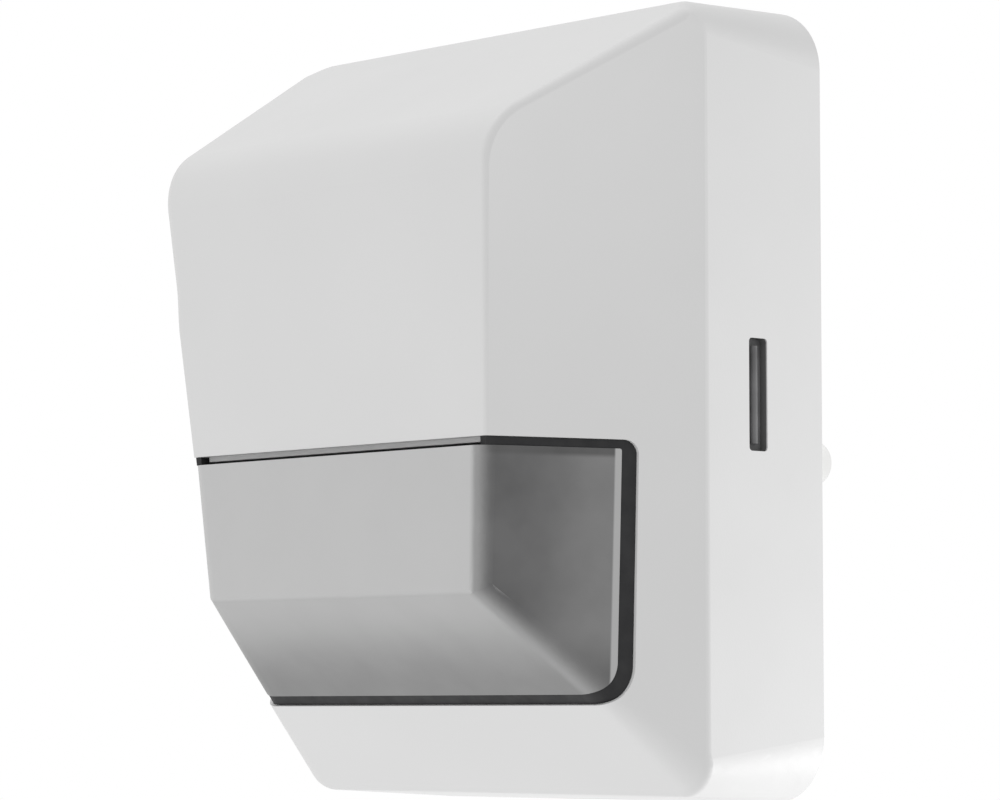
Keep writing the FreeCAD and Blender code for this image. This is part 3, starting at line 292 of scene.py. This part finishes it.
def capacitor_sleeve():
    return moulded("capacitor_sleeve", (0.012, 0.018, 0.05), 0.28, grain=1.2 * MM, depth=0.012 * MM)


def varistor_coating():
    """Dipped epoxy, with the waves of a coat that ran before it set."""
    shader = Shader("varistor_coating", (0.02, 0.09, 0.30), 0.25)
    shader.mottle(2 * MM, 0.10)
    shader.bump(shader.noise(2.2 * MM, 1.0), 0.08 * MM)
    return shader


def choke_winding():
    return moulded("choke_winding", (0.035, 0.033, 0.032), 0.55, grain=0.2 * MM, depth=0.012 * MM)


def fuse_glass():
    shader = Shader("fuse_glass", (0.95, 0.97, 0.97), 0.03, Transmission_Weight=0.95, IOR=1.47)
    shader.bump(shader.noise(3 * MM, 1.0), 0.01 * MM)
    return shader


def filter_pane():
    """A polished silicon window, which passes only infrared."""
    shader = Shader("filter_pane", (0.05, 0.045, 0.055), 0.12, Metallic=0.6)
    shader.mottle(1.5 * MM, 0.2)
    shader.uneven_gloss(0.7 * MM, 0.04)
    return shader


def led_lens():
    shader = Shader("led_lens", (0.75, 0.03, 0.02), 0.10, Transmission_Weight=0.7, IOR=1.5)
    shader.mottle(1 * MM, 0.06)
    shader.bump(shader.noise(1 * MM, 1.0), 0.01 * MM)
    return shader


FINISHES = {
    "cover_plastic": cover_plastic,
    "lens_frosted": lens_frosted,
    "gasket_rubber": lambda: rubber("gasket_rubber", (0.010, 0.010, 0.011)),
    "retainer_plastic": lambda: moulded("retainer_plastic", (0.014, 0.014, 0.015), 0.55),
    "screw_steel": lambda: metal("screw_steel", (0.62, 0.62, 0.60), 0.28),
    "base_plastic": lambda: moulded("base_plastic", (0.82, 0.82, 0.81), 0.5),
    "pad_rubber": lambda: rubber("pad_rubber", (0.115, 0.115, 0.117), 0.6),
    "hook_plastic": lambda: moulded("hook_plastic", (0.15, 0.152, 0.155), 0.5),
    "foam_rubber": foam_rubber,
    "grommet_rubber": lambda: rubber("grommet_rubber", (0.022, 0.022, 0.024)),
    "clamp_plastic": lambda: moulded("clamp_plastic", (0.55, 0.54, 0.50), 0.42),
    "board_laminate": board_laminate,
    "terminal_plastic": lambda: moulded("terminal_plastic", (0.24, 0.26, 0.27), 0.42),
    "brass_clamp": brass_clamp,
    "relay_plastic": lambda: moulded("relay_plastic", (0.012, 0.012, 0.013), 0.30),
    "film_capacitor_case": film_capacitor_case,
    "capacitor_sleeve": capacitor_sleeve,
    "varistor_coating": varistor_coating,
    "choke_winding": choke_winding,
    "fuse_glass": fuse_glass,
    "plated_metal": lambda: metal("plated_metal", (0.70, 0.69, 0.66), 0.22),
    "chip_plastic": lambda: moulded("chip_plastic", (0.018, 0.018, 0.019), 0.55, grain=0.12 * MM),
    "resistor_coating": lambda: moulded("resistor_coating", (0.50, 0.36, 0.20), 0.35),
    "trimmer_plastic": lambda: moulded("trimmer_plastic", (0.02, 0.06, 0.20), 0.40),
    "dial_plastic": lambda: moulded("dial_plastic", (0.66, 0.64, 0.57), 0.45),
    "bracket_plastic": lambda: moulded("bracket_plastic", (0.014, 0.014, 0.015), 0.6),
    "detector_can": lambda: metal("detector_can", (0.68, 0.66, 0.62), 0.22),
    "filter_pane": filter_pane,
    "photocell_ceramic": lambda: moulded("photocell_ceramic", (0.52, 0.30, 0.14), 0.3),
    "led_lens": led_lens,
}
MATERIALS = {slot: make().material for slot, make in FINISHES.items()}


def paint(piece, slot):
    """Gives a piece the finish of a material slot."""
    piece.data.materials.clear()
    piece.data.materials.append(MATERIALS[slot])


for node, piece in frame["nodes"].items():
    paint(piece, SLOT_OF_NODE[node])


# ---------------------------------------------------------------- details that the CAD leaves out

class Shape:
    """Collects blocks and turned forms into one mesh."""

    def __init__(self):
        self.points = []
        self.faces = []

    def block(self, low, high):
        first = len(self.points)
        for x in (low[0], high[0]):
            for y in (low[1], high[1]):
                for z in (low[2], high[2]):
                    self.points.append((x, y, z))
        for corners in ((0, 1, 3, 2), (4, 6, 7, 5), (0, 4, 5, 1), (2, 3, 7, 6), (0, 2, 6, 4), (1, 5, 7, 3)):
            self.faces.append([first + corner for corner in corners])

    def turned(self, centre, profile, along="y", sides=40):
        """A form turned about an axis through centre; profile is (radius, way along the axis)."""
        first = len(self.points)
        for radius, way in profile:
            for step in range(sides):
                angle = 2 * math.pi * step / sides
                across = (radius * math.cos(angle), radius * math.sin(angle))
                offset = {
                    "x": (way, across[0], across[1]),
                    "y": (across[0], way, across[1]),
                    "z": (across[0], across[1], way),
                }[along]
                self.points.append([c + o for c, o in zip(centre, offset)])
        for ring in range(len(profile) - 1):
            for step in range(sides):
                here = first + ring * sides + step
                beside = first + ring * sides + (step + 1) % sides
                self.faces.append((here, beside, beside + sides, here + sides))
        self.faces.append([first + step for step in reversed(range(sides))])
        last = first + (len(profile) - 1) * sides
        self.faces.append([last + step for step in range(sides)])

    def ridge(self, path, half_wide, tall):
        """A low three-sided ridge along a path of points, which rises towards +Y."""
        first = len(self.points)
        for x, y, z in path:
            self.points.extend([(x - half_wide, y, z), (x + half_wide, y, z), (x, y + tall, z)])
        for index in range(len(path) - 1):
            near = first + 3 * index
            for a, b in ((0, 1), (1, 2), (2, 0)):
                self.faces.append((near + a, near + b, near + 3 + b, near + 3 + a))
        self.faces.append((first, first + 2, first + 1))
        last = first + 3 * (len(path) - 1)
        self.faces.append((last, last + 1, last + 2))

    def finish(self, name, material, body):
        mesh = bpy.data.meshes.new(name)
        mesh.from_pydata(self.points, [], self.faces)
        mesh.update()
        mesh.materials.append(material)
        piece = bpy.data.objects.new(name, mesh)
        bpy.context.scene.collection.objects.link(piece)
        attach(piece, body)


def middle_of(node):
    low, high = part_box(node)
    return (low + high) / 2


def loose_boxes(node):
    """(low, high) of each separate solid in a CAD node, from left to right."""
    mesh = frame["nodes"][node].data
    group = list(range(len(mesh.vertices)))

    def root(index):
        while group[index] != index:
            group[index] = group[group[index]]
            index = group[index]
        return index

    place_of = {}
    for vertex in mesh.vertices:
        key = tuple(round(c, 6) for c in vertex.co)
        group[vertex.index] = place_of.setdefault(key, vertex.index)
    for edge in mesh.edges:
        group[root(edge.vertices[0])] = root(edge.vertices[1])
    solids = {}
    for vertex in mesh.vertices:
        solids.setdefault(root(vertex.index), []).append(vertex.co)
    boxes = []
    for points in solids.values():
        low = Vector([min(p[i] for p in points) for i in range(3)])
        high = Vector([max(p[i] for p in points) for i in range(3)])
        boxes.append((low, high))
    return sorted(boxes, key=lambda pair: (round(pair[0].x, 4), pair[0].z))


def ink(name, colour):
    shader = Shader(name, colour, 0.5)
    shader.mottle(1.2 * MM, 0.06)
    shader.bump(shader.noise(0.2 * MM, 2.0), 0.003 * MM)
    return shader.material


def masked_copper():
    """Copper under the solder mask, which looks a lighter green."""
    shader = Shader("masked_copper", (0.03, 0.20, 0.07), 0.26, Coat_Weight=0.4, Coat_Roughness=0.15)
    shader.mottle(3 * MM, 0.10)
    shader.bump(shader.noise(0.5 * MM, 1.0), 0.005 * MM)
    return shader.material


WHITE_INK = ink("legend_ink", (0.72, 0.72, 0.68))
BAND_INKS = (
    ink("band_brown", (0.10, 0.035, 0.015)),
    ink("band_black", (0.01, 0.01, 0.01)),
    ink("band_orange", (0.55, 0.14, 0.02)),
    ink("band_gold", (0.45, 0.30, 0.08)),
)
COPPER = masked_copper()
FRAMED_NODES = ("relay", "film_capacitor", "varistor", "choke", "electrolytic_capacitor", "fuse")
LINE = 0.2 * MM
INK_THICK = 0.02 * MM


def board_tracks():
    """Wide tracks from the terminals down the board and thin ones between the chips."""
    board_low, board_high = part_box("circuit_board")
    block_low, block_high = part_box("terminal_block")
    front = board_low.y
    raised = 0.035 * MM
    sunk = 0.01 * MM
    power_wide = 1.6 * MM
    signal_wide = 0.3 * MM
    leg_pitch = 1.0 * MM
    tracks = Shape()

    def strip(x_a, z_a, x_b, z_b, wide):
        low = (min(x_a, x_b) - wide / 2, front - raised, min(z_a, z_b) - wide / 2)
        high = (max(x_a, x_b) + wide / 2, front + sunk, max(z_a, z_b) + wide / 2)
        tracks.block(low, high)

    goals = ("relay", "film_capacitor", "varistor", "electrolytic_capacitor")
    pitch = (block_high.x - block_low.x) / len(goals)
    for index, node in enumerate(sorted(goals, key=lambda name: middle_of(name).x)):
        start_x = block_low.x + pitch * (index + 0.5)
        goal = middle_of(node)
        turn_z = block_low.z - (1.5 + 1.6 * index) * MM
        strip(start_x, block_low.z, start_x, turn_z, power_wide)
        strip(start_x, turn_z, goal.x, turn_z, power_wide)
        strip(goal.x, turn_z, goal.x, goal.z, power_wide)
    for low, high in loose_boxes("control_chips"):
        middle = (low + high) / 2
        room_below = low.z - board_low.z > 9 * MM
        start_z, sign = (low.z, -1) if room_below else (high.z, 1)
        aside = -1 if middle.x > 0 else 1
        for step in range(-2, 3):
            x = middle.x + step * leg_pitch
            end_z = start_z + sign * (2.2 * MM + abs(step) * 0.8 * MM)
            strip(x, start_z, x, end_z, signal_wide)
            strip(x, end_z, x + aside * 3.0 * MM, end_z, signal_wide)
    tracks.finish("board_tracks", COPPER, "base")


def board_legend():
    """Printed frames round the components and a dot beside pin one of every chip."""
    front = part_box("circuit_board")[0].y
    margin = 0.6 * MM            # from a component to its frame
    pin_inset = 0.7 * MM
    legend = Shape()
    frames = [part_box(node) for node in FRAMED_NODES] + loose_boxes("trimmers")
    for low, high in frames:
        left, right = low.x - margin, high.x + margin
        bottom, top = low.z - margin, high.z + margin
        for z in (bottom, top):
            legend.block((left, front - INK_THICK, z - LINE / 2), (right, front, z + LINE / 2))
        for x in (left, right):
            legend.block((x - LINE / 2, front - INK_THICK, bottom), (x + LINE / 2, front, top))
    for low, high in loose_boxes("control_chips"):
        dot = (low.x + pin_inset, low.y, high.z - pin_inset)
        legend.turned(dot, [(0.3 * MM, 0), (0.28 * MM, -INK_THICK)], sides=20)
    legend.finish("board_legend", WHITE_INK, "base")


def dial_scales():
    """Ticks printed on the board round each dial, longer at the ends of its turn."""
    board_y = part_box("circuit_board")[0].y
    dots = 4                     # a tick is a short row of dots
    last_tick = 5
    tick_turn = 27               # degrees from one tick to the next
    dot_radius = 0.16 * MM
    ticks = Shape()
    for node in ("time_dial", "light_dial", "range_dial"):
        low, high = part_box(node)
        middle = (low + high) / 2
        radius = (high.x - low.x) / 2
        for step in range(-last_tick, last_tick + 1):
            angle = math.radians(tick_turn * step)
            reach = 1.1 * MM if abs(step) == last_tick else 0.6 * MM
            for dot in range(dots):
                out = radius + 0.5 * MM + reach * dot / (dots - 1)
                x = middle.x + out * math.sin(angle)
                z = middle.z + out * math.cos(angle)
                ticks.turned((x, board_y, z), [(dot_radius, 0), (dot_radius, -INK_THICK)], sides=10)
    ticks.finish("dial_scales", WHITE_INK, "base")


def capacitor_top():
    """Bare aluminium top of the electrolytic capacitor, with its scored vent."""
    low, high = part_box("electrolytic_capacitor")
    middle = (low + high) / 2
    radius = (high.x - low.x) / 2
    top = Shape()
    face = low.y
    rim = radius - 1.0 * MM
    top.turned((middle.x, face, middle.z), [(rim, 0.3 * MM), (rim, 0), (rim - 0.25 * MM, -0.05 * MM)])
    score_long = rim * 0.7
    score_half = 0.12 * MM
    for wide, tall in ((score_long, score_half), (score_half, score_long)):
        top.block(
            (middle.x - wide, face - 0.09 * MM, middle.z - tall),
            (middle.x + wide, face - 0.03 * MM, middle.z + tall),
        )
    top.finish("capacitor_top", MATERIALS["plated_metal"], "base")


def fuse_caps():
    """Plated end caps round the ends of the glass."""
    low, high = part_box("fuse")
    middle = (low + high) / 2
    radius = (high.z - low.z) / 2
    caps = Shape()
    cap_long = 4.3 * MM
    thick = 0.02 * MM
    for end, inward in ((low.x, 1), (high.x, -1)):
        profile = [(radius * 0.9, -thick * inward), (radius + thick, 0.15 * MM * inward)]
        profile += [(radius + thick, (cap_long - 0.1 * MM) * inward), (radius * 0.97, cap_long * inward)]
        caps.turned((end, middle.y, middle.z), profile, along="x")
    caps.finish("fuse_caps", MATERIALS["plated_metal"], "base")


def resistor_bands():
    """Four colour bands on every resistor."""
    radius = 1.0 * MM
    inner = radius - 0.05 * MM
    outer = radius + 0.012 * MM
    half = 0.19 * MM
    pitch = 0.95 * MM
    first_shift = -1.6           # in pitches, so that the bands sit towards one end
    for index, (low, high) in enumerate(loose_boxes("resistors")):
        middle = (low + high) / 2
        along = "x" if high.x - low.x > high.z - low.z else "z"
        for band, material in enumerate(BAND_INKS):
            place = [middle.x, low.y + radius, middle.z]
            place["xyz".index(along)] += (band + first_shift) * pitch
            ring = Shape()
            ring.turned(place, [(inner, -half), (outer, -half), (outer, half), (inner, half)], along=along)
            ring.finish(f"resistor_band_{index}_{band}", material, "base")


def choke_turns():
    """The turns of enamelled wire between the choke's flanges."""
    low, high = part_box("choke")
    middle = (low + high) / 2
    radius = (high.x - low.x) / 2 - 0.45 * MM
    wire = 0.28 * MM             # half the thickness of the wire
    flange = 1.7 * MM
    arc_steps = 6
    turns = Shape()
    count = int((high.y - low.y - 2 * flange) / (2 * wire))
    for turn in range(count):
        way = low.y + flange + wire * (2 * turn + 1)
        profile = []
        for step in range(arc_steps + 1):
            angle = math.pi * step / arc_steps
            profile.append((radius - wire + wire * math.sin(angle), way - wire * math.cos(angle)))
        turns.turned((middle.x, 0, middle.z), profile)
    shader = metal("enamelled_wire", (0.42, 0.13, 0.05), 0.3)
    turns.finish("choke_turns", shader.material, "base")


def lens_ribs():
    """The borders of the lens segments, which stand on the inner side of its front."""
    mesh = frame["nodes"]["lens"].data
    tree = BVHTree.FromPolygons([v.co for v in mesh.vertices], [p.vertices for p in mesh.polygons])
    low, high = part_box("lens")
    ribs = Shape()
    half_span = 22 * MM
    columns = 11
    steps = 12
    half_wide = 0.25 * MM
    tall = 0.30 * MM
    start = 5.6 * MM             # below the lens's top, clear of the retainer's upper bar
    run = 11.4 * MM
    for column in range(columns):
        x = -half_span + 2 * half_span * column / (columns - 1)
        path = []
        for step in range(steps + 1):
            z = high.z - start - run * step / steps
            hit = tree.ray_cast(Vector((x, low.y + 9 * MM, z)), Vector((0, -1, 0)))
            if hit[0] is not None:
                path.append((x, hit[0].y - 0.02 * MM, z))
        if len(path) > 2:
            ribs.ridge(path, half_wide, tall)
    ribs.finish("lens_ribs", MATERIALS["lens_frosted"], "cover")


board_tracks()
board_legend()
dial_scales()
capacitor_top()
fuse_caps()
resistor_bands()
choke_turns()
lens_ribs()


# ---------------------------------------------------------------- light and camera

SOFT_BOXES = (
    # name, direction from the object, distance, size, strength
    ("top", (-0.3, -0.3, 0.9), 1.0, 0.5, 0.20),
    ("low", (-0.4, -0.5, -0.77), 1.0, 0.5, 0.20),
)
RIM_LIGHT = ("rim", (0.34, 0.87, -0.36), 0.27, 0.10, 1.45)
CAMERA_PLACE = Vector((0.3667, -0.3659, -0.0394))
CAMERA_TURN = math.radians(46.77)
CAMERA_TILT = math.radians(4.64)
CAMERA_LENS_MM = 139.85


def make_world(strength):
    world = bpy.data.worlds.new("studio")
    world.use_nodes = True
    background = world.node_tree.nodes["Background"]
    background.inputs["Color"].default_value = (1, 1, 1, 1)
    background.inputs["Strength"].default_value = strength
    bpy.context.scene.world = world


def make_soft_light(name, direction, distance, size, strength):
    """A square soft box that faces the object.

    strength is what it adds to a surface that faces it, where the room alone adds 1.
    """
    data = bpy.data.lights.new(name, "AREA")
    data.size = size
    data.energy = strength * (math.pi * distance) ** 2
    light = bpy.data.objects.new(name, data)
    towards_light = Vector(direction).normalized()
    light.location = towards_light * distance
    light.rotation_euler = (-towards_light).to_track_quat("-Z", "Y").to_euler()
    light.visible_camera = False
    bpy.context.scene.collection.objects.link(light)
    return light


def light_only(light, nodes):
    """Keeps a light off everything but these CAD nodes."""
    lit = bpy.data.collections.new(light.name + "_lit")
    for node in nodes:
        lit.objects.link(frame["nodes"][node])
    light.light_linking.receiver_collection = lit


def make_camera():
    data = bpy.data.cameras.new("camera")
    data.lens = CAMERA_LENS_MM
    data.sensor_width = 36.0
    data.clip_start = 0.01
    data.clip_end = 20.0
    camera = bpy.data.objects.new("camera", data)
    camera.location = CAMERA_PLACE
    camera.rotation_euler = (math.radians(90) + CAMERA_TILT, 0, CAMERA_TURN)
    bpy.context.scene.collection.objects.link(camera)
    bpy.context.scene.camera = camera


make_world(1.0)
for name, direction, distance, size, strength in SOFT_BOXES:
    make_soft_light(name, direction, distance, size, strength)
light_only(make_soft_light(*RIM_LIGHT), ("front_cover", "lens", "release_pads"))
make_camera()
bpy.context.scene.view_settings.view_transform = "Standard"
